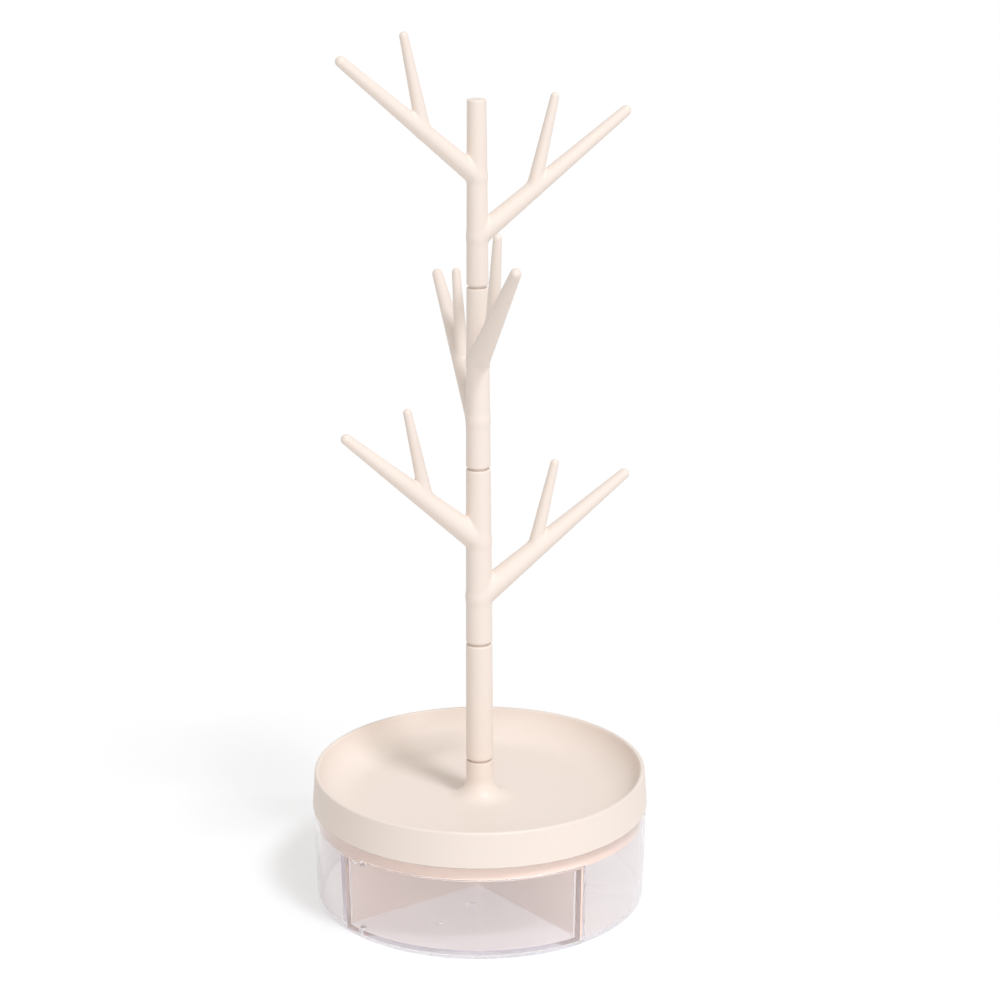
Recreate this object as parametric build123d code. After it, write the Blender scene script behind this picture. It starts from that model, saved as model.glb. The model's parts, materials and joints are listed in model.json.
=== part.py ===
from build123d import *
import os
from math import asin, atan2, cos, degrees, hypot, radians, sin, sqrt

# A jewellery stand: a clear round base with a wedge-shaped drawer that swings out, a blush tray
# over it, and a trunk of stacked sections whose twigs hold necklaces.
# Millimetres. +Z is up, the origin is on the table under the trunk, and the drawer faces -Y.
# Azimuths run from -Y towards +X.

# tray
tray_radius = 82.5
tray_floor = 2.5
rim_height = 17.4          # from the bottom of the skirt to the top of the rim
rim_draft = 1.3            # the rim's outer face leans in by this much
rim_width = 2.2
rim_round = 0.9
skirt_wall = 2.4
cove_radius = 16.5         # where the tray's floor rises into its rim
flare_radius = 10.0        # where the tray's floor rises into the stem
stem_height = 18.8         # from the tray's floor to the first joint
stem_core_radius = 3.6     # hollow under the stem
stem_core_roof = 9.0       # solid plastic left over that hollow
groove_wall = 2.4          # plastic left between the cove and the hollow under the rim
groove_past_cove = 5.0     # the hollow starts this far outside the foot of the cove

# clear base
skirt_overhang = 0.4       # the tray's skirt past the base wall
skirt_gap = 0.4            # open line between skirt and base wall
base_height = 47.6
base_wall = 2.0
base_floor = 2.0
base_draft = 1.2           # the base is this much smaller in radius at its foot
base_foot_round = 1.4
base_inner_round = 1.2

# housing under the tray: plug ring, bay roof and the two bay walls
ring_fit = 0.3             # plug ring to the inside of the base wall
ring_wall = 2.2
ring_depth = 7.8           # plug ring below the tray
roof_thickness = 2.2
bay_half_angle = 46.0
bay_wall = 2.2
bay_wall_end_gap = 1.0     # outer end of a bay wall to the base wall

# drawer
side_clearance = 1.4       # drawer side to bay wall
floor_clearance = 0.5      # drawer floor to base floor
roof_clearance = 0.6       # drawer top to bay roof
drawer_wall = 2.0
drawer_floor = 1.8
drawer_apex_round = 5.0
drawer_front_round = 1.5   # outer upright corners of the front
drawer_inner_round = 2.5
drawer_front_lap = 1.0     # the drawer's front rises this far past the bay roof
seam_gap = 0.4             # drawer front to the band of the base over it
jamb_set_back = 0.6        # edge of the opening in the base wall, past the bay wall's face
pip_radius = 2.5
pip_height = 1.0
pip_sink = 0.2             # of a pip below the drawer's floor
pip_places = [(27.5, -1.0), (53.0, -14.5)]   # radius and azimuth of each pip

# drawer hinge
hinge_set_back = 5.6       # pins to the base's outer face at its top
hinge_to_wall = 10.25      # pins to the face of the left bay wall
hinge_pin_radius = 1.5
hinge_pin_press = 0.02     # pin in its fixed hole
hinge_pin_running = 0.06   # pin in the drawer
ear_radius = 3.2           # flat ear at the top of the drawer's hinge corner
ear_thickness = 1.6
pin_hole_depth = 1.2       # lower pin in the base floor
pin_end_gap = 0.3
upper_boss_height = 3.0
boss_wall = 1.7            # of the boss round the upper pin
notch_past_hinge = 3.2     # the base's band is cut low from here round to the hinge corner
rise_past_hinge = 6.4      # the front rises from here, so that it swings clear of the band

# screws that hold the housing to the tray
screw_circle = 55.0
screw_azimuths = [75.0, 180.0, 285.0]
screw_radius = 1.45
screw_head_radius = 2.8
screw_head_height = 1.8
screw_head_round = 0.6
screw_length = 7.5         # under the head
screw_hole_radius = 1.7
screw_fit = 0.05           # thread to its boss
screw_tip_gap = 0.5        # screw's tip to the end of its hole
boss_radius = 3.5
recess_width = 0.9
recess_length = 3.2
recess_depth = 1.1

# trunk
joint_gap = 1.1            # open line between two sections
trunk_diameters = [13.3, 12.9, 11.9, 10.5, 9.1]   # at each joint, and at the top
spacer_length = 60.7
section_length = 88.9      # joint to joint
trunk_edge_round = 0.4
spigot_length = 12.0
spigot_fit = 0.06
socket_wall = 1.8
spigot_bead = 0.3
bead_place = 7.0
bead_half_height = 0.8
bead_clearance = 0.1
spigot_end_gap = 0.05
spigot_chamfer = 0.6

# branches, in the plane of their section: (reach, rise) from the branch's own crossing of the axis
left_crossing = 52.6       # above the shoulder under the section
left_tip = (65.8, 57.7)
left_twig_tip = (35.4, 67.5)
left_fork_reach = 26.2
right_crossing = 24.1
right_tip = (75.5, 54.0)
right_twig_tip = (39.2, 63.2)
right_fork_reach = 28.4
branch_tip_diameter = 5.3
twig_tip_diameter = 4.2
twig_root_diameter = 7.0
root_inset = 0.15          # branch root inside the trunk's surface
section_turns = [28.6, 113.6, 30.3]   # how far each branch plane is turned about the trunk


# lengths for the making only
overcut = 1.0              # a cut runs on this far past the face that it starts from
hair = 0.01                # edges and corners this near to a level are taken to be on it

# the levels and radii that several pieces share
base_radius_top = tray_radius - skirt_overhang
tray_bottom = base_height + skirt_gap
tray_top = tray_bottom + tray_floor
rim_top = tray_bottom + rim_height
roof_bottom = tray_bottom - ring_depth
roof_top = roof_bottom + roof_thickness
stem_radius = trunk_diameters[0] / 2
stem_top = tray_top + stem_height
drawer_bottom = base_floor + floor_clearance
drawer_top = roof_bottom - roof_clearance
front_top = roof_bottom + drawer_front_lap
hinge_distance = base_radius_top - hinge_set_back
hinge_azimuth = degrees(asin(hinge_to_wall / hinge_distance)) - bay_half_angle
hinge_x = hinge_distance * sin(radians(hinge_azimuth))
hinge_y = -hinge_distance * cos(radians(hinge_azimuth))
far = 2 * tray_radius
right_of_bay = 120.0       # an azimuth well past the right end of the opening


def base_radius(z):
    return base_radius_top - base_draft * (base_height - z) / base_height


ring_radius = base_radius(roof_bottom) - base_wall - ring_fit


def at(distance, azimuth, z=0.0):
    return (distance * sin(radians(azimuth)), -distance * cos(radians(azimuth)), z)


def turned(outline):
    # a solid of revolution about the trunk's axis, from an outline of (radius, height)
    return revolve(Plane.XZ * make_face(outline), Axis.Z)


def turned_points(points):
    return turned(Polyline(*points, close=True))


def upright(x, y, z, radius, height):
    return Pos(x, y, z) * Cylinder(radius, height, align=(Align.CENTER, Align.CENTER, Align.MIN))


def bay_prism(offset, low, high):
    # the wedge between the bay walls, grown outwards by the offset
    apex = offset / sin(radians(bay_half_angle))
    side_x = far * sin(radians(bay_half_angle))
    side_y = far * cos(radians(bay_half_angle))
    corners = [(0, apex), (-side_x, apex - side_y), (0, -2 * far), (side_x, apex - side_y)]
    return Pos(0, 0, low) * extrude(make_face(Polyline(*corners, close=True)), high - low)


def sector(first, last, low, high):
    # everything between two azimuths, from the trunk's axis outwards
    middle = (first + last) / 2
    points = [(0, 0)] + [at(far, azimuth)[:2] for azimuth in (first, middle, last)]
    return Pos(0, 0, low) * extrude(make_face(Polyline(*points, close=True)), high - low)


def round_apex(prism, radius):
    # round the upright edge of a bay prism that stands nearest to the trunk
    edge = min(prism.edges().filter_by(Axis.Z), key=lambda e: hypot(e.center().X, e.center().Y))
    return fillet(edge, radius)


def spigot(shoulder, radius):
    top = shoulder + spigot_length
    bead = shoulder + bead_place
    root = shoulder - overcut
    return turned_points([(0, root), (radius, root), (radius, bead - bead_half_height),
                          (radius + spigot_bead, bead), (radius, bead + bead_half_height),
                          (radius, top - spigot_chamfer), (radius - spigot_chamfer, top), (0, top)])


def socket(shoulder, radius):
    # the hollow for a spigot whose own shoulder is at the given height
    bore = radius + spigot_fit
    mouth = shoulder + joint_gap
    bead = shoulder + bead_place
    groove_half = bead_half_height + bead_clearance
    top = shoulder + spigot_length + spigot_end_gap
    low = mouth - overcut
    return turned_points([(0, low), (bore + spigot_chamfer, low), (bore + spigot_chamfer, mouth),
                          (bore, mouth + spigot_chamfer), (bore, bead - groove_half),
                          (bore + spigot_bead, bead), (bore, bead + groove_half), (bore, top), (0, top)])


def spigot_radius(joint):
    return trunk_diameters[joint] / 2 - socket_wall


def make_tray():
    depth = rim_height - tray_floor
    rim_outer = tray_radius - rim_draft
    rim_inner = rim_outer - rim_width
    cove_start = rim_inner - sqrt(2 * cove_radius * depth - depth ** 2)
    flare_start = stem_radius + flare_radius
    cove_end_angle = degrees(atan2(depth - cove_radius, rim_inner - cove_start))
    outline = [
        Polyline((0, tray_bottom), (tray_radius, tray_bottom), (rim_outer, rim_top),
                 (rim_inner, rim_top)),
        CenterArc((cove_start, tray_top + cove_radius), cove_radius, -90, cove_end_angle + 90),
        Line((cove_start, tray_top), (flare_start, tray_top)),
        CenterArc((flare_start, tray_top + flare_radius), flare_radius, 180, 90),
        Polyline((stem_radius, tray_top + flare_radius), (stem_radius, stem_top), (0, stem_top),
                 (0, tray_bottom)),
    ]
    section = make_face(outline)
    rim_corners = section.vertices().filter_by_position(Axis.Y, rim_top - hair, rim_top + hair)
    section = fillet(rim_corners, rim_round)
    stem_corners = section.vertices().filter_by_position(Axis.Y, stem_top - hair, stem_top + hair)
    section = fillet(stem_corners.sort_by(Axis.X)[-1], trunk_edge_round)
    tray = revolve(Plane.XZ * section, Axis.Z)

    # hollow under the rim: it follows the cove at an even wall, out to the skirt
    groove_outer = tray_radius - skirt_wall
    groove_arc = cove_radius + groove_wall
    groove_top = tray_top + cove_radius - sqrt(groove_arc ** 2 - (groove_outer - cove_start) ** 2)
    groove_start = cove_start + groove_past_cove
    groove_floor = tray_top + cove_radius - sqrt(groove_arc ** 2 - (groove_start - cove_start) ** 2)
    centre = (cove_start, tray_top + cove_radius)
    first = degrees(atan2(groove_floor - centre[1], groove_start - centre[0]))
    last = degrees(atan2(groove_top - centre[1], groove_outer - centre[0]))
    groove = turned([
        CenterArc(centre, groove_arc, first, last - first),
        Polyline((groove_outer, groove_top), (groove_outer, tray_bottom - overcut),
                 (groove_start, tray_bottom - overcut), (groove_start, groove_floor)),
    ])
    core_top = stem_top - stem_core_roof
    tray -= groove
    tray -= upright(0, 0, tray_bottom - overcut, stem_core_radius, core_top - tray_bottom + overcut)
    tray += spigot(stem_top, spigot_radius(0))

    # screw bosses down to the housing's roof
    pilot_depth = screw_length - roof_thickness + screw_tip_gap
    for azimuth in screw_azimuths:
        x, y, _ = at(screw_circle, azimuth)
        tray += upright(x, y, roof_top, boss_radius, tray_bottom - roof_top)
        tray -= upright(x, y, roof_top - overcut, screw_radius + screw_fit, pilot_depth + overcut)
    return tray


def base_outline_solid(low, high, inset=0.0):
    # the solid inside the base's drafted outer face, between two heights
    return turned_points([(0, low), (base_radius(low) - inset, low),
                          (base_radius(high) - inset, high), (0, high)])


def make_base_shell():
    foot = base_radius(0)
    inner = (base_radius(base_floor) - base_wall, base_floor)
    rim = [(base_radius_top, base_height), (base_radius_top - base_wall, base_height)]
    section = make_face(Polyline((0, 0), (foot, 0), *rim, inner, (0, base_floor), close=True))
    section = fillet(section.vertices().sort_by_distance((foot, 0))[0], base_foot_round)
    section = fillet(section.vertices().sort_by_distance(inner)[0], base_inner_round)
    shell = revolve(Plane.XZ * section, Axis.Z)

    # the opening for the drawer's front: low over the hinge corner, higher over the rest
    notch = hinge_azimuth + degrees(notch_past_hinge / hinge_distance)
    shell -= bay_prism(jamb_set_back, base_floor, drawer_top + seam_gap)
    high_part = bay_prism(jamb_set_back, base_floor, front_top + seam_gap)
    shell -= high_part & sector(notch, right_of_bay, base_floor, base_height)
    pin_hole = hinge_pin_radius + hinge_pin_press
    return shell - upright(hinge_x, hinge_y, base_floor - pin_hole_depth, pin_hole, base_floor)


def make_bay_housing():
    ring_inner = ring_radius - ring_wall
    housing = turned_points([(0, roof_bottom), (ring_radius, roof_bottom), (ring_radius, tray_bottom),
                             (ring_inner, tray_bottom), (ring_inner, roof_top), (0, roof_top)])
    walls = bay_prism(bay_wall, base_floor, roof_bottom) - bay_prism(0, base_floor, roof_bottom)
    wall_end = base_radius(base_floor) - base_wall - bay_wall_end_gap
    housing += walls & upright(0, 0, base_floor, wall_end, roof_bottom - base_floor)
    boss = upright(hinge_x, hinge_y, roof_top, hinge_pin_radius + boss_wall, upper_boss_height)
    housing += boss & upright(0, 0, roof_top, ring_radius - ring_wall / 2, upper_boss_height)
    low = roof_bottom - overcut
    for azimuth in screw_azimuths:
        x, y, _ = at(screw_circle, azimuth)
        housing -= upright(x, y, low, screw_hole_radius, roof_thickness + 2 * overcut)
    pin_hole_top = roof_top + upper_boss_height - pin_end_gap
    return housing - upright(hinge_x, hinge_y, low, hinge_pin_radius + hinge_pin_press, pin_hole_top - low)


def front_corners(wedge):
    # the two upright edges of a wedge where its sides meet the curved front
    upright_edges = [e for e in wedge.edges() if e.bounding_box().size.Z > front_top / 2]
    return sorted(upright_edges, key=lambda e: hypot(e.center().X, e.center().Y))[-2:]


def hinge_ear(low):
    # a round ear whose back runs out into the drawer's front
    reach = base_radius(low) - drawer_wall / 2 - hinge_distance
    back = Box(2 * ear_radius, reach, ear_thickness, align=(Align.CENTER, Align.MAX, Align.MIN))
    back = Rot(0, 0, hinge_azimuth) * Pos(0, -hinge_distance, low) * back
    return upright(hinge_x, hinge_y, low, ear_radius, ear_thickness) + back


def make_drawer():
    blank = round_apex(bay_prism(-side_clearance, drawer_bottom, front_top), drawer_apex_round)
    blank &= base_outline_solid(drawer_bottom, front_top)
    blank = fillet(front_corners(blank), drawer_front_round)

    # the front wall alone goes on up past the roof of the bay, but not over the hinge corner
    body = blank & upright(0, 0, drawer_bottom, far, drawer_top - drawer_bottom)
    rise = hinge_azimuth + degrees(rise_past_hinge / hinge_distance)
    front = blank - base_outline_solid(drawer_bottom, front_top, drawer_wall)
    body += front & sector(rise, right_of_bay, drawer_bottom, front_top)

    # the hollow
    floor_top = drawer_bottom + drawer_floor
    inside = side_clearance + drawer_wall
    hollow = round_apex(bay_prism(-inside, floor_top, front_top + overcut), drawer_apex_round - drawer_wall)
    hollow &= base_outline_solid(floor_top, front_top + overcut, drawer_wall)
    body -= fillet(front_corners(hollow), drawer_inner_round)

    # at the hinge corner the lower pin turns in the floor and the upper one in the ear
    body += hinge_ear(drawer_top - ear_thickness)
    body -= upright(hinge_x, hinge_y, drawer_bottom - overcut, hinge_pin_radius + hinge_pin_running, far)

    # low round pips on the floor
    dome = (pip_radius ** 2 + pip_height ** 2) / (2 * pip_height)
    for distance, azimuth in pip_places:
        x, y, _ = at(distance, azimuth)
        cap = Pos(x, y, floor_top + pip_height - dome) * Sphere(dome)
        body += cap & upright(x, y, floor_top - pip_sink, 2 * pip_radius, pip_sink + pip_height)
    return body


def make_lower_pin():
    low = base_floor - pin_hole_depth
    return upright(hinge_x, hinge_y, low, hinge_pin_radius, drawer_bottom + drawer_floor - low)


def make_upper_pin():
    low = drawer_top - ear_thickness
    high = roof_top + upper_boss_height - pin_end_gap
    return upright(hinge_x, hinge_y, low, hinge_pin_radius, high - low)


def make_screw(azimuth):
    x, y, _ = at(screw_circle, azimuth)
    screw = upright(x, y, roof_bottom - screw_head_height, screw_head_radius, screw_head_height)
    screw = fillet(screw.edges().sort_by(Axis.Z)[0], screw_head_round)
    screw += upright(x, y, roof_bottom, screw_radius, screw_length)
    slot = Box(recess_length, recess_width, 2 * recess_depth)
    slot += Box(recess_width, recess_length, 2 * recess_depth)
    return screw - Pos(x, y, roof_bottom - screw_head_height) * slot


def make_trunk(joint, length, last=False):
    # a tapered piece of trunk from one joint to the next, with a socket below and a spigot above
    shoulder = joint_height(joint)
    low = shoulder + joint_gap
    high = shoulder + length
    trunk = turned_points([(0, low), (trunk_radius(low), low), (trunk_radius(high), high), (0, high)])
    trunk = fillet([trunk.edges().sort_by(Axis.Z)[0], trunk.edges().sort_by(Axis.Z)[-1]], trunk_edge_round)
    if not last:
        trunk += spigot(high, spigot_radius(joint + 1))
    return trunk


def joint_height(joint):
    return stem_top + (0 if joint == 0 else spacer_length + (joint - 1) * section_length)


def trunk_radius(z):
    # the trunk tapers evenly between the diameters at its joints
    last = len(trunk_diameters) - 2
    joint = 0
    while joint < last and z > joint_height(joint + 1):
        joint += 1
    share = (z - joint_height(joint)) / (joint_height(joint + 1) - joint_height(joint))
    return (trunk_diameters[joint] + share * (trunk_diameters[joint + 1] - trunk_diameters[joint])) / 2


def tapered_rod(start, end, start_radius, end_radius):
    way = Vector(*end) - Vector(*start)
    rod = Cone(start_radius, end_radius, way.length, align=(Align.CENTER, Align.CENTER, Align.MIN))
    return Plane(origin=start, z_dir=way.normalized()) * rod + Pos(*end) * Sphere(end_radius)


def make_branch(side, crossing, tip, fork_reach, twig_tip):
    root_radius = trunk_radius(crossing) - root_inset
    fork_rise = tip[1] * fork_reach / tip[0]
    root = (0, 0, crossing)
    end = (side * tip[0], 0, crossing + tip[1])
    fork = (side * fork_reach, 0, crossing + fork_rise)
    twig_end = (side * twig_tip[0], 0, crossing + twig_tip[1])
    branch = tapered_rod(root, end, root_radius, branch_tip_diameter / 2)
    return branch + tapered_rod(fork, twig_end, twig_root_diameter / 2, twig_tip_diameter / 2)


def make_branch_section(joint, turn, last=False):
    shoulder = joint_height(joint)
    section = make_trunk(joint, section_length, last)
    section += make_branch(-1, shoulder + left_crossing, left_tip, left_fork_reach, left_twig_tip)
    section += make_branch(1, shoulder + right_crossing, right_tip, right_fork_reach, right_twig_tip)
    section -= socket(shoulder, spigot_radius(joint))
    return Rot(0, 0, turn) * section


os.makedirs("parts", exist_ok=True)
nodes = {
    "tray": make_tray(),
    "bay_housing": make_bay_housing(),
    "housing_screws": Compound(children=[make_screw(azimuth) for azimuth in screw_azimuths]),
    "base_shell": make_base_shell(),
    "drawer": make_drawer(),
    "drawer_lower_pivot_pin": make_lower_pin(),
    "drawer_upper_pivot_pin": make_upper_pin(),
    "trunk_spacer": make_trunk(0, spacer_length) - socket(joint_height(0), spigot_radius(0)),
    "lower_branch_section": make_branch_section(1, section_turns[0]),
    "middle_branch_section": make_branch_section(2, section_turns[1]),
    "upper_branch_section": make_branch_section(3, section_turns[2], last=True),
}
for name, solid in nodes.items():
    export_step(solid, f"parts/{name}.step")
    print(name, round(solid.volume / 1000, 2), "cm3")
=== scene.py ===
import json
from math import radians, sin, cos
import bpy
from mathutils import Matrix, Vector


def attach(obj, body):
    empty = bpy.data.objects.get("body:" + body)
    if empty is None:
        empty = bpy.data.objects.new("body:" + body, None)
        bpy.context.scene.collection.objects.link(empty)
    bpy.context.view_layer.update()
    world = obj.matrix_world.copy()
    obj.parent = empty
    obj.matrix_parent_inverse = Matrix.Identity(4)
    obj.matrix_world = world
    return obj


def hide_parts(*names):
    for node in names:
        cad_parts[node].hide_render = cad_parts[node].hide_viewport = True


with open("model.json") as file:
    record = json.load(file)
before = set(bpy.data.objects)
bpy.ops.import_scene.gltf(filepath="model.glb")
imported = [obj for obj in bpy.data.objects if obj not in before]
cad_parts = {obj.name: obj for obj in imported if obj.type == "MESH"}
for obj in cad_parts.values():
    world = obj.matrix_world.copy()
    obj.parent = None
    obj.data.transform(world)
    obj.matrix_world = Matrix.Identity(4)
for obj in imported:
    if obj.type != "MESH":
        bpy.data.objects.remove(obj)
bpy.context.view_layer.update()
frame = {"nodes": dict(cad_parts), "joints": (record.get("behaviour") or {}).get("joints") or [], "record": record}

nodes = frame["nodes"]

noiseSpan = (0.3, 0.7)  # where most of a noise texture's values lie


def fill(tree, node, values):
    # links the sockets among the values, and sets the rest
    for name, value in values.items():
        if isinstance(value, bpy.types.NodeSocket):
            tree.links.new(value, node.inputs[name])
        else:
            node.inputs[name].default_value = value


def addNode(tree, kind, values=None, **settings):
    made = tree.nodes.new(kind)
    for name, value in settings.items():
        setattr(made, name, value)
    fill(tree, made, values or {})
    return made


def opaque(colour):
    return (*colour, 1)


def newMaterial(name):
    material = bpy.data.materials.new(name)
    material.use_nodes = True
    tree = material.node_tree
    tree.nodes.clear()
    return material, tree


def calc(tree, operation, *values):
    return addNode(tree, "ShaderNodeMath", dict(enumerate(values)), operation=operation).outputs[0]


def mapped(tree, value, low, high, atLow, atHigh):
    return addNode(tree, "ShaderNodeMapRange", {"Value": value, "From Min": low, "From Max": high,
                                                "To Min": atLow, "To Max": atHigh})


def objectCoords(tree):
    return addNode(tree, "ShaderNodeTexCoord").outputs["Object"]


def noise(tree, coords, scale, detail):
    return addNode(tree, "ShaderNodeTexNoise", {"Vector": coords, "Scale": scale,
                                                "Detail": detail}).outputs["Fac"]


def spread(tree, value, low, high):
    return mapped(tree, value, *noiseSpan, low, high).outputs["Result"]


def bumped(tree, height, strength, depth):
    return addNode(tree, "ShaderNodeBump", {"Height": height, "Strength": strength,
                                            "Distance": depth}).outputs[0]


def mixedColour(tree, share, first, second):
    # a Mix node's colour sockets are numbers 6 and 7 going in, and 2 coming out
    mix = addNode(tree, "ShaderNodeMix", {0: share, 6: opaque(first), 7: opaque(second)}, data_type="RGBA")
    return mix.outputs[2]


def mixedShader(tree, share, first, second):
    values = {0: share, 1: first.outputs[0], 2: second.outputs[0]}
    return addNode(tree, "ShaderNodeMixShader", values).outputs[0]


blush = {
    "colour": (0.868, 0.768, 0.700),
    "mottle": (0.880, 0.783, 0.716),
    "mottleScale": 38.0,
    "mottleDetail": 4.0,
    "roughness": (0.40, 0.48),
    "grainScale": 1700.0,
    "grainDetail": 2.0,
    "grainStrength": 0.05,
    "grainDepth": 0.00004,
    "specular": 0.45,
}

# the housing is lit only through clear plastic; its colour is a brighter, warmer copy of the blush, painted light
# that stands in for the light soaking through the thin plastic into the bay
housingBlushPaintedLight = dict(blush, colour=(0.965, 0.775, 0.648), mottle=(0.970, 0.788, 0.662))


def blushPlastic(name, tone):
    material, tree = newMaterial(name)
    coords = objectCoords(tree)
    cloud = noise(tree, coords, tone["mottleScale"], tone["mottleDetail"])
    grain = noise(tree, coords, tone["grainScale"], tone["grainDetail"])
    shader = addNode(tree, "ShaderNodeBsdfPrincipled", {
        "Base Color": mixedColour(tree, cloud, tone["colour"], tone["mottle"]),
        "Roughness": spread(tree, grain, *tone["roughness"]),
        "Normal": bumped(tree, grain, tone["grainStrength"], tone["grainDepth"]),
        "Specular IOR Level": tone["specular"]})
    addNode(tree, "ShaderNodeOutputMaterial", {"Surface": shader.outputs[0]})
    return material


clear = {
    "colour": (0.990, 0.968, 0.970),
    "clarity": 0.89,  # the rest of the light is scattered
    "trapped": 4.5,  # light that has met more surfaces than this leaves the plastic
    "ior": 1.55,
    "roughness": (0.012, 0.035),
    "streakScale": 26.0,
    "streakDetail": 1.0,
    "waveDepth": 0.00025,
    "waveStrength": 0.10,
    "shadowTint": (0.992, 0.985, 0.985),
    "edgeColour": (0.74, 0.66, 0.90),
    "edgeDensity": 13.0,
}

# the base's clear plastic is darker and greyer than the drawer's, painted shade for the tray's shade inside the
# base; its lower shadow tint casts a deeper real shadow
baseClearPaintedShade = dict(clear, colour=(0.925, 0.895, 0.895), shadowTint=(0.965, 0.955, 0.955))


def clearPlastic(name, tone):
    material, tree = newMaterial(name)
    flow = noise(tree, objectCoords(tree), tone["streakScale"], tone["streakDetail"])
    shader = addNode(tree, "ShaderNodeBsdfPrincipled", {
        "Base Color": opaque(tone["colour"]),
        "Transmission Weight": tone["clarity"],
        "IOR": tone["ior"],
        "Roughness": spread(tree, flow, *tone["roughness"]),
        "Normal": bumped(tree, flow, tone["waveStrength"], tone["waveDepth"])})
    straight = addNode(tree, "ShaderNodeBsdfTransparent", {"Color": opaque(tone["shadowTint"])})
    path = addNode(tree, "ShaderNodeLightPath").outputs
    trapped = calc(tree, "GREATER_THAN", path["Ray Depth"], tone["trapped"])
    passes = calc(tree, "MAXIMUM", path["Is Shadow Ray"], trapped)
    body = addNode(tree, "ShaderNodeVolumeAbsorption", {"Color": opaque(tone["edgeColour"]),
                                                        "Density": tone["edgeDensity"]})
    addNode(tree, "ShaderNodeOutputMaterial", {"Surface": mixedShader(tree, passes, shader, straight),
                                               "Volume": body.outputs[0]})
    return material


steel = {
    "colour": (0.46, 0.46, 0.48),
    "roughness": (0.22, 0.38),
    "brushScale": 900.0,
    "brushDetail": 3.0,
}


def plainSteel():
    material, tree = newMaterial("plainSteel")
    brushed = noise(tree, objectCoords(tree), steel["brushScale"], steel["brushDetail"])
    shader = addNode(tree, "ShaderNodeBsdfPrincipled", {
        "Base Color": opaque(steel["colour"]), "Metallic": 1.0,
        "Roughness": spread(tree, brushed, *steel["roughness"])})
    addNode(tree, "ShaderNodeOutputMaterial", {"Surface": shader.outputs[0]})
    return material


finishes = {"blush_plastic": blushPlastic("blushPlastic", blush),
            "clear_plastic": clearPlastic("clearPlastic", clear),
            "steel": plainSteel()}
# the housing's finish is the brighter blush copy that paints the light inside the bay
ownFinishes = {"bay_housing": blushPlastic("housingPlastic", housingBlushPaintedLight),
               # the base's finish is the darker clear plastic that paints the shade inside the base
               "base_shell": clearPlastic("basePlastic", baseClearPaintedShade)}
for part in frame["record"]["subparts"]:
    piece = nodes[part["node"]]
    piece.data.materials.clear()
    piece.data.materials.append(ownFinishes.get(part["node"], finishes[part["material_slot"]]))
print("materials: %d finishes on %d nodes" % (len(finishes) + len(ownFinishes), len(nodes)))


# Trunk and branches: a Geometry Nodes tree fills a volume with the piece's own distance field and
# meshes it, so that every branch runs into its trunk with the small moulded round of the real one

trunk = {
    "diameters": (0.0133, 0.0129, 0.0119, 0.0105, 0.0091),  # at each joint, and at the top
    "jointGap": 0.0011,
    "edgeRound": 0.0005,
    "spigotWall": 0.0018,  # plastic round a spigot
    "spigotLength": 0.012,
    "spigotFit": 0.00006,
    "voxel": 0.0005,
    "margin": 0.0015,  # of the volume past the piece
}

branch = {
    "leftCrossing": 0.0526,  # above the joint below, where the branch meets the trunk's axis
    "leftTip": (-0.0658, 0.0577),  # reach and rise from that crossing
    "leftFork": 0.398,  # share of the way out where the twig leaves
    "leftTwigTip": (-0.0354, 0.0675),
    "rightCrossing": 0.0241,
    "rightTip": (0.0755, 0.0540),
    "rightFork": 0.376,
    "rightTwigTip": (0.0392, 0.0632),
    "tipRadius": 0.00265,
    "twigTipRadius": 0.0021,
    "twigRootRadius": 0.0035,
    "blend": 0.0018,  # how far the round in a fork spreads
}

sections = [
    {"node": "trunk_spacer", "joint": "spacer_swivel"},
    {"node": "lower_branch_section", "joint": "lower_section_swivel", "turn": 28.6},
    {"node": "middle_branch_section", "joint": "middle_section_swivel", "turn": 113.6},
    {"node": "upper_branch_section", "joint": "upper_section_swivel", "turn": 30.3},
]


def newTree(name, inputs, output, kind):
    tree = bpy.data.node_groups.new(name, "GeometryNodeTree")
    for label in inputs:
        tree.interface.new_socket(label, in_out="INPUT", socket_type="NodeSocket" + inputs[label])
    tree.interface.new_socket(output, in_out="OUTPUT", socket_type="NodeSocket" + kind)
    return tree, tree.nodes.new("NodeGroupInput").outputs, tree.nodes.new("NodeGroupOutput")


def vectorCalc(tree, operation, *values):
    made = addNode(tree, "ShaderNodeVectorMath", dict(enumerate(values)), operation=operation)
    return made.outputs["Value" if operation in ("DOT_PRODUCT", "LENGTH") else "Vector"]


def xyz(tree, **values):
    return addNode(tree, "ShaderNodeCombineXYZ", values).outputs[0]


def sloped(tree, value, low, high, atLow, atHigh):
    # runs on past both ends
    slope = mapped(tree, value, low, high, atLow, atHigh)
    slope.clamp = False
    return slope.outputs["Result"]


def rodField():
    # distance to a straight rod whose radius changes evenly from its start to its round end
    tree, given, result = newTree("rodDistance", {
        "Position": "Vector", "Start": "Vector", "End": "Vector",
        "Start Radius": "Float", "End Radius": "Float"}, "Distance", "Float")
    way = vectorCalc(tree, "SUBTRACT", given["End"], given["Start"])
    out = vectorCalc(tree, "SUBTRACT", given["Position"], given["Start"])
    covered = vectorCalc(tree, "DOT_PRODUCT", out, way)
    whole = vectorCalc(tree, "DOT_PRODUCT", way, way)
    share = addNode(tree, "ShaderNodeClamp", {"Value": calc(tree, "DIVIDE", covered, whole)}).outputs[0]
    scaled = addNode(tree, "ShaderNodeVectorMath", {0: way, "Scale": share}, operation="SCALE")
    reach = vectorCalc(tree, "LENGTH", vectorCalc(tree, "SUBTRACT", out, scaled.outputs["Vector"]))
    radius = sloped(tree, share, 0.0, 1.0, given["Start Radius"], given["End Radius"])
    fill(tree, result, {"Distance": calc(tree, "SUBTRACT", reach, radius)})
    return tree


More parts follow.
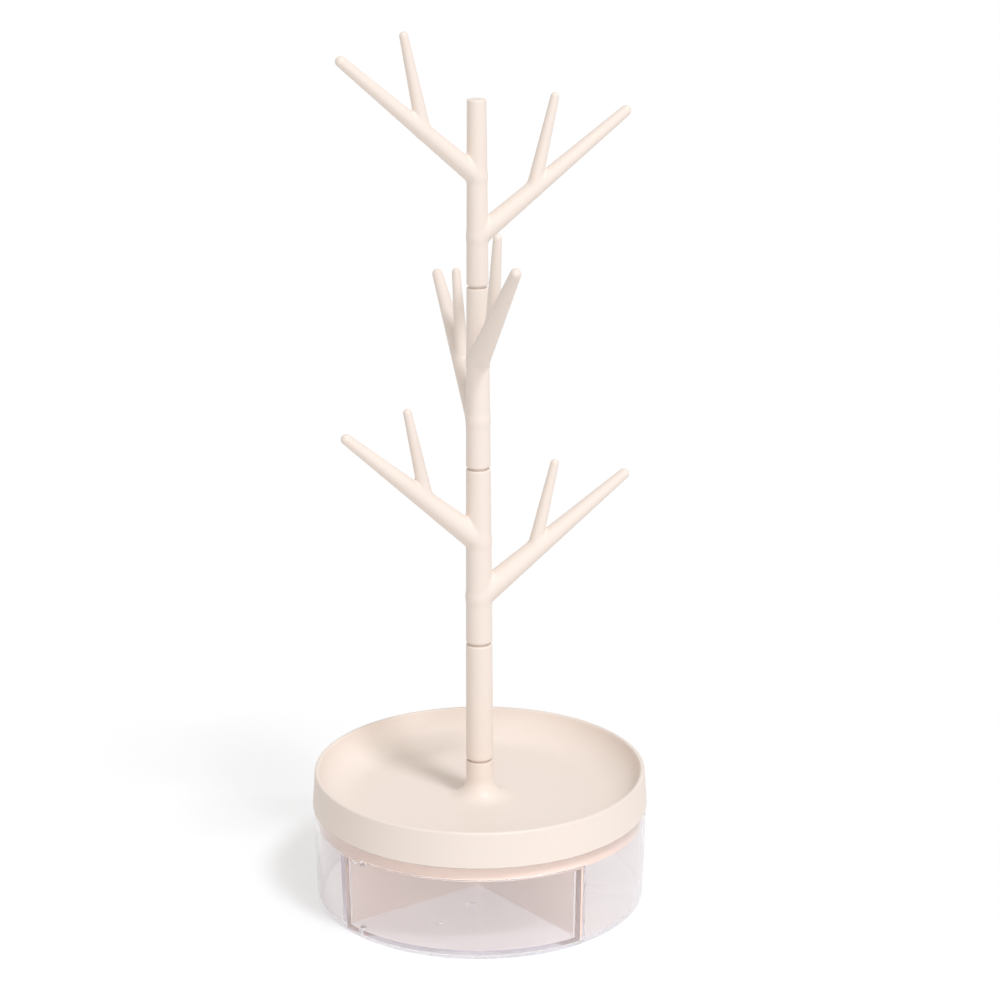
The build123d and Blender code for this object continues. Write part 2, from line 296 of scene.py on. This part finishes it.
def postField():
    # distance to an upright tapered post with rounded edges
    tree, given, result = newTree("postDistance", {
        "Position": "Vector", "Low": "Float", "High": "Float", "Low Radius": "Float",
        "High Radius": "Float", "Edge Round": "Float"}, "Distance", "Float")
    edge = given["Edge Round"]
    place = addNode(tree, "ShaderNodeSeparateXYZ", {0: given["Position"]}).outputs
    axisReach = vectorCalc(tree, "LENGTH", xyz(tree, X=place["X"], Y=place["Y"]))
    radius = sloped(tree, place["Z"], given["Low"], given["High"], given["Low Radius"], given["High Radius"])
    middle = calc(tree, "MULTIPLY", calc(tree, "ADD", given["Low"], given["High"]), 0.5)
    half = calc(tree, "SUBTRACT", given["High"], middle)
    rise = calc(tree, "ABSOLUTE", calc(tree, "SUBTRACT", place["Z"], middle))
    side = calc(tree, "ADD", calc(tree, "SUBTRACT", axisReach, radius), edge)
    end = calc(tree, "ADD", calc(tree, "SUBTRACT", rise, half), edge)
    inside = calc(tree, "MINIMUM", calc(tree, "MAXIMUM", side, end), 0.0)
    corner = xyz(tree, X=calc(tree, "MAXIMUM", side, 0.0), Y=calc(tree, "MAXIMUM", end, 0.0))
    distance = calc(tree, "ADD", vectorCalc(tree, "LENGTH", corner), inside)
    fill(tree, result, {"Distance": calc(tree, "SUBTRACT", distance, edge)})
    return tree


rodGroup, postGroup = rodField(), postField()
rodNames = ("Left Branch", "Left Twig", "Right Branch", "Right Twig")


def sectionField(tree, given, rods):
    # the post with its rods blended in and its spigot added, less the socket
    place = addNode(tree, "GeometryNodeInputPosition").outputs[0]

    def post(low, high, lowRadius, highRadius, edge):
        return addNode(tree, "GeometryNodeGroup", {
            "Position": place, "Low": low, "High": high, "Low Radius": lowRadius,
            "High Radius": highRadius, "Edge Round": edge}, node_tree=postGroup).outputs[0]

    low, edge = given["Low"], given["Edge Round"]
    shape = post(low, given["High"], given["Low Radius"], given["High Radius"], edge)
    for rod in rods:
        ends = {end: given[rod + " " + end] for end in ("Start", "End", "Start Radius", "End Radius")}
        reach = addNode(tree, "GeometryNodeGroup", {"Position": place, **ends}, node_tree=rodGroup).outputs[0]
        shape = calc(tree, "SMOOTH_MIN", shape, reach, given["Blend"])
    spigot = post(low, given["Spigot Top"], given["Spigot Radius"], given["Spigot Radius"], edge)
    shape = calc(tree, "MINIMUM", shape, spigot)
    below = calc(tree, "SUBTRACT", low, given["Socket Radius"])
    socket = post(below, given["Socket Top"], given["Socket Radius"], given["Socket Radius"], 0.0)
    return calc(tree, "MAXIMUM", shape, calc(tree, "MULTIPLY", socket, -1.0))


def fieldSkin(tree, given, shape):
    # the surface is where the density passes its level, which the far field stays under
    level = given["Edge Round"]
    size = vectorCalc(tree, "SUBTRACT", given["Box High"], given["Box Low"])
    voxel = xyz(tree, X=given["Voxel"], Y=given["Voxel"], Z=given["Voxel"])
    count = addNode(tree, "ShaderNodeSeparateXYZ", {0: vectorCalc(tree, "DIVIDE", size, voxel)}).outputs
    cube = addNode(tree, "GeometryNodeVolumeCube", {
        "Density": calc(tree, "SUBTRACT", level, shape), "Min": given["Box Low"], "Max": given["Box High"],
        "Resolution X": count["X"], "Resolution Y": count["Y"], "Resolution Z": count["Z"]})
    skin = addNode(tree, "GeometryNodeVolumeToMesh", {"Volume": cube.outputs[0], "Threshold": level})
    return skin.outputs[0]


def sectionTree(name, rods):
    inputs = dict.fromkeys(("Low", "High", "Low Radius", "High Radius", "Edge Round", "Spigot Top",
                            "Spigot Radius", "Socket Top", "Socket Radius", "Blend", "Turn",
                            "Voxel"), "Float")
    inputs.update({"Box Low": "Vector", "Box High": "Vector", "Finish": "Material"})
    for rod in rods:
        inputs.update({rod + " Start": "Vector", rod + " End": "Vector",
                       rod + " Start Radius": "Float", rod + " End Radius": "Float"})
    tree, given, result = newTree(name, inputs, "Mesh", "Geometry")
    skin = fieldSkin(tree, given, sectionField(tree, given, rods))
    turned = addNode(tree, "GeometryNodeTransform", {"Geometry": skin,
                                                     "Rotation": xyz(tree, Z=given["Turn"])})
    smooth = addNode(tree, "GeometryNodeSetShadeSmooth", {"Geometry": turned.outputs[0]})
    real = addNode(tree, "GeometryNodeRealizeInstances", {"Geometry": smooth.outputs[0]})
    dressed = addNode(tree, "GeometryNodeSetMaterial", {"Geometry": real.outputs[0],
                                                        "Material": given["Finish"]})
    fill(tree, result, {"Mesh": dressed.outputs[0]})
    return tree


def grown(name, tree, values):
    # runs a Geometry Nodes tree on an empty mesh and keeps the plain mesh that comes out
    host = bpy.data.objects.new(name, bpy.data.meshes.new(name))
    bpy.context.scene.collection.objects.link(host)
    modifier = host.modifiers.new("grow", "NODES")
    modifier.node_group = tree
    for item in tree.interface.items_tree:
        if item.in_out == "INPUT":
            modifier[item.identifier] = values[item.name]
    done = bpy.data.meshes.new_from_object(host.evaluated_get(bpy.context.evaluated_depsgraph_get()))
    host.modifiers.clear()
    host.data = done
    done.name = name
    return host


def jointNamed(name):
    return next(joint for joint in frame["joints"] if joint["name"] == name)


def trunkRadius(z, heights):
    last = len(heights) - 2
    step = next((i for i in range(last) if z <= heights[i + 1]), last)
    share = (z - heights[step]) / (heights[step + 1] - heights[step])
    return (trunk["diameters"][step] * (1 - share) + trunk["diameters"][step + 1] * share) / 2


def widened(box, points, amount):
    room = Vector((amount,) * 3)
    lows, highs = [box[0]], [box[1]]
    for point in points:
        lows.append(point - room)
        highs.append(point + room)
    return [Vector(map(min, *lows)), Vector(map(max, *highs))]


def rodValues(side, shoulder, heights):
    # the ends of one branch and its twig, and the inputs that say so
    crossing = Vector((0, 0, shoulder + branch[side + "Crossing"]))
    reaches = branch[side + "Tip"], branch[side + "TwigTip"]
    out, twigOut = [Vector((reach, 0, rise)) for reach, rise in reaches]
    tip, twigTip = crossing + out, crossing + twigOut
    label = side.capitalize()
    return (tip, twigTip), {
        label + " Branch Start": crossing,
        label + " Branch End": tip,
        label + " Branch Start Radius": trunkRadius(crossing.z, heights),
        label + " Branch End Radius": branch["tipRadius"],
        label + " Twig Start": crossing + out * branch[side + "Fork"],
        label + " Twig End": twigTip,
        label + " Twig Start Radius": branch["twigRootRadius"],
        label + " Twig End Radius": branch["twigTipRadius"]}


def growTrunk():
    heights = [jointNamed(section["joint"])["pos_m"][2] for section in sections]
    heights.append(2 * heights[-1] - heights[-2])  # the top section is as long as the one under it
    spigotRadii = [diameter / 2 - trunk["spigotWall"] for diameter in trunk["diameters"]]
    plain, forked = sectionTree("plainSection", ()), sectionTree("forkedSection", rodNames)
    for number, section in enumerate(sections):
        shoulder, high = heights[number], heights[number + 1]
        low = shoulder + trunk["jointGap"]
        spigotTop = high + trunk["spigotLength"]
        radius = trunkRadius(low, heights)
        box = [Vector((-radius, -radius, low)), Vector((radius, radius, spigotTop))]
        values = {"Low": low, "High": high, "Low Radius": radius, "High Radius": trunkRadius(high, heights),
                  "Edge Round": trunk["edgeRound"], "Spigot Radius": spigotRadii[number + 1],
                  "Spigot Top": high if section is sections[-1] else spigotTop,
                  "Socket Top": shoulder + trunk["spigotLength"],
                  "Socket Radius": spigotRadii[number] + trunk["spigotFit"],
                  "Blend": branch["blend"], "Turn": radians(section.get("turn", 0.0)),
                  "Voxel": trunk["voxel"], "Finish": finishes["blush_plastic"]}
        if "turn" in section:
            for side in ("left", "right"):
                tips, more = rodValues(side, shoulder, heights)
                values.update(more)
                box = widened(box, tips, branch["tipRadius"])
        values["Box Low"], values["Box High"] = widened(box, box, trunk["margin"])
        piece = grown(section["node"] + "_moulded", forked if "turn" in section else plain, values)
        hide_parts(section["node"])
        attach(piece, jointNamed(section["joint"])["child"])
        print("%s: %d faces" % (piece.name, len(piece.data.polygons)))


growTrunk()


studio = {
    "floorHalf": 12.0,
    "floorColour": (0.82, 0.82, 0.82),
    "floorSeen": (0.55, 0.56, 0.575),
    "floorGlow": 0.48,
    "worldColour": (1.0, 0.955, 0.900),
    "worldStrength": 0.54,
    "worldSeen": (1.0, 1.0, 1.0),
    "keyColour": (0.975, 1.0, 1.04),
    "keyStrength": 1.35,
    "keyAzimuth": 48.0,
    "keyElevation": 58.0,
    "keySoftness": 12.0,
    "fillColour": (1.0, 1.0, 1.0),
    "fillStrength": 0.98,
    "fillAzimuth": 24.0,
    "fillElevation": 10.0,
    "fillSoftness": 70.0,
}


def seenDirectly(tree):
    # 1 for rays from the camera, from gloss and through clear plastic
    path = addNode(tree, "ShaderNodeLightPath").outputs
    either = calc(tree, "MAXIMUM", path["Is Camera Ray"], path["Is Glossy Ray"])
    return calc(tree, "MAXIMUM", either, path["Is Transmission Ray"])


def makeFloor():
    half = studio["floorHalf"]
    corners = [(-half, -half, 0), (half, -half, 0), (half, half, 0), (-half, half, 0)]
    mesh = bpy.data.meshes.new("tableTop")
    mesh.from_pydata(corners, [], [range(len(corners))])
    floor = bpy.data.objects.new("tableTop", mesh)
    bpy.context.scene.collection.objects.link(floor)
    material, tree = newMaterial("tableWhite")
    lit = addNode(tree, "ShaderNodeBsdfDiffuse", {"Color": opaque(studio["floorColour"])})
    seen = addNode(tree, "ShaderNodeBsdfDiffuse", {"Color": opaque(studio["floorSeen"])})
    glow = addNode(tree, "ShaderNodeEmission", {"Strength": studio["floorGlow"]})
    white = addNode(tree, "ShaderNodeAddShader", {0: seen.outputs[0], 1: glow.outputs[0]})
    addNode(tree, "ShaderNodeOutputMaterial", {"Surface": mixedShader(tree, seenDirectly(tree), lit, white)})
    mesh.materials.append(material)


def makeWorld():
    world = bpy.data.worlds.new("studioWhite")
    bpy.context.scene.world = world
    world.use_nodes = True
    tree = world.node_tree
    tree.nodes.clear()
    lit = addNode(tree, "ShaderNodeBackground", {"Color": opaque(studio["worldColour"]),
                                                 "Strength": studio["worldStrength"]})
    seen = addNode(tree, "ShaderNodeBackground", {"Color": opaque(studio["worldSeen"])})
    addNode(tree, "ShaderNodeOutputWorld", {"Surface": mixedShader(tree, seenDirectly(tree), lit, seen)})


def makeLamp(name):
    lamp = bpy.data.lights.new(name + "Light", "SUN")
    lamp.color = studio[name + "Colour"]
    lamp.energy = studio[name + "Strength"]
    lamp.angle = radians(studio[name + "Softness"])
    holder = bpy.data.objects.new(name + "Light", lamp)
    azimuth, elevation = radians(studio[name + "Azimuth"]), radians(studio[name + "Elevation"])
    towards = Vector((sin(azimuth) * cos(elevation), -cos(azimuth) * cos(elevation), sin(elevation)))
    holder.rotation_mode = "QUATERNION"
    holder.rotation_quaternion = towards.to_track_quat("Z", "Y")
    holder.location = towards
    bpy.context.scene.collection.objects.link(holder)


camera = {
    "lens": 109.41,
    "sensor": 36.0,
    "distance": 1.38838,
    "height": 0.64352,
    "azimuth": 8.5,
    "pitchDown": 17.600,
    "yaw": -0.4254,
    "roll": -0.14,
}


def makeCamera():
    data = bpy.data.cameras.new("viewpoint")
    data.lens = camera["lens"]
    data.sensor_width = camera["sensor"]
    viewpoint = bpy.data.objects.new("viewpoint", data)
    azimuth = radians(camera["azimuth"])
    place = Vector((sin(azimuth), -cos(azimuth), 0)) * camera["distance"]
    place.z = camera["height"]
    aim = (Matrix.Rotation(azimuth + radians(camera["yaw"]), 4, "Z")
           @ Matrix.Rotation(radians(90 - camera["pitchDown"]), 4, "X")
           @ Matrix.Rotation(radians(camera["roll"]), 4, "Z"))
    viewpoint.matrix_world = Matrix.Translation(place) @ aim
    bpy.context.scene.collection.objects.link(viewpoint)
    bpy.context.scene.camera = viewpoint


makeFloor()
makeWorld()
makeLamp("key")
makeLamp("fill")
makeCamera()
bpy.context.scene.view_settings.view_transform = "Standard"
print("studio: floor, world, key and fill light, camera")
